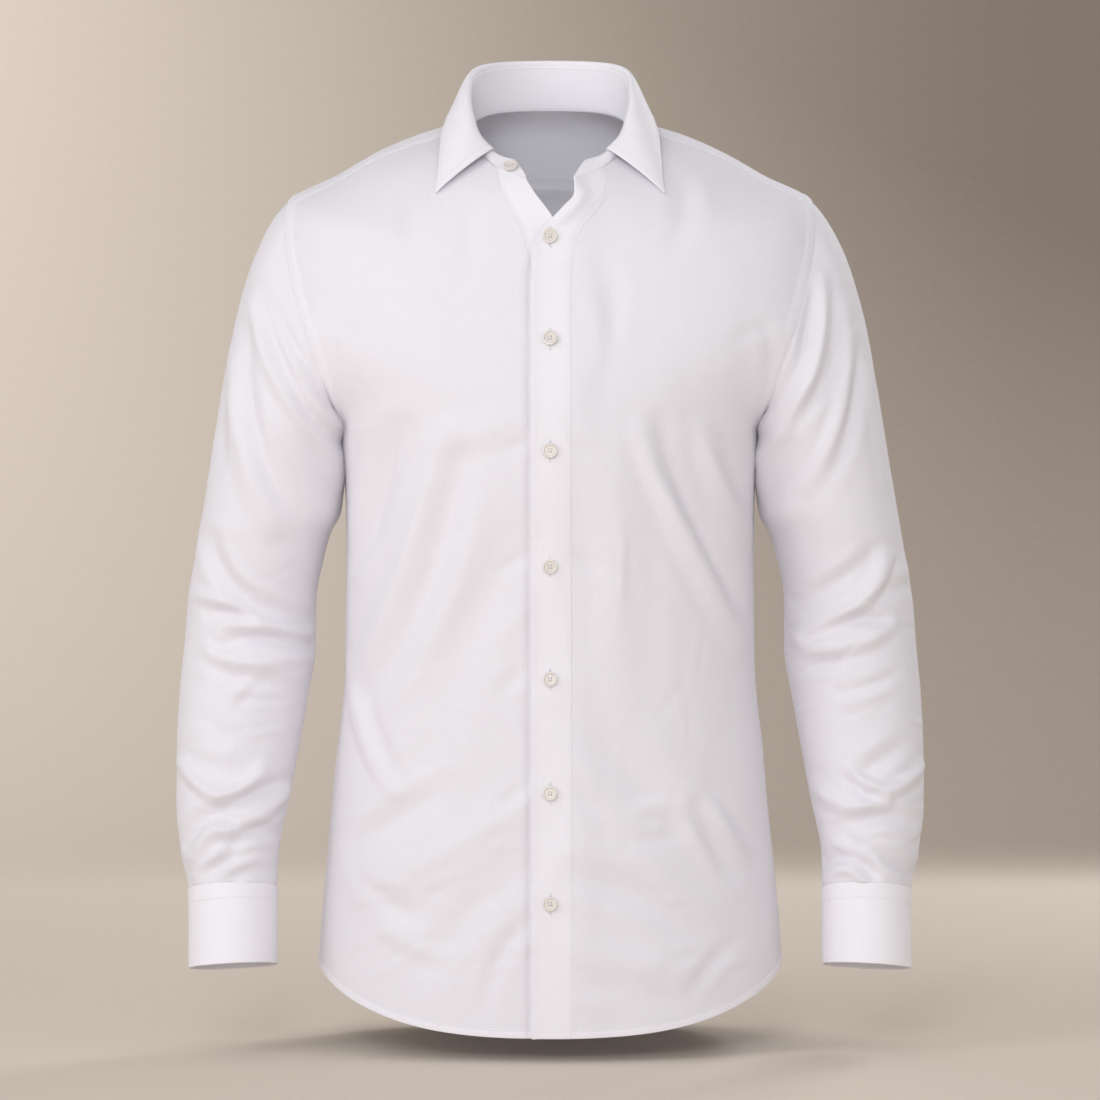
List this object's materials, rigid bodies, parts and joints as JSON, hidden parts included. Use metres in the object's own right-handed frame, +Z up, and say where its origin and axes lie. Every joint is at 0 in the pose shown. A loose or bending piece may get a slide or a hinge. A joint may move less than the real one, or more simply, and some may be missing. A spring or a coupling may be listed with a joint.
{
  "type": "long sleeve dress shirt",
  "caption": "Long sleeve dress shirt, filled out as worn, with an open spread collar, plain placket, curved hem and button cuffs.",
  "frame": {"origin": "middle of the neck opening at the height of the shoulders, where the wearer's neck and shoulders hold the shirt", "axes": "+X to the wearer's left, +Y to the back, +Z up"},
  "size_m": [0.616, 0.2756, 0.8156],
  "materials": {
    "cotton": "fine plain weave, matt, pressed",
    "button": "pearl, polished"
  },
  "bodies": {
    "root": {"front_right": "cotton", "front_left": "cotton", "back": "cotton", "yoke": "cotton", "collar_band": "cotton", "collar_leaf": "cotton", "sleeve_right": "cotton", "sleeve_left": "cotton", "placket_right": "cotton", "placket_left": "cotton", "cuff_right": "cotton", "cuff_left": "cotton", "button_front_1": "button", "button_front_2": "button", "button_front_3": "button", "button_front_4": "button", "button_front_5": "button", "button_front_6": "button", "button_front_7": "button", "button_collar": "button", "button_cuff_right": "button", "button_cuff_left": "button"}
  },
  "joints": []
}
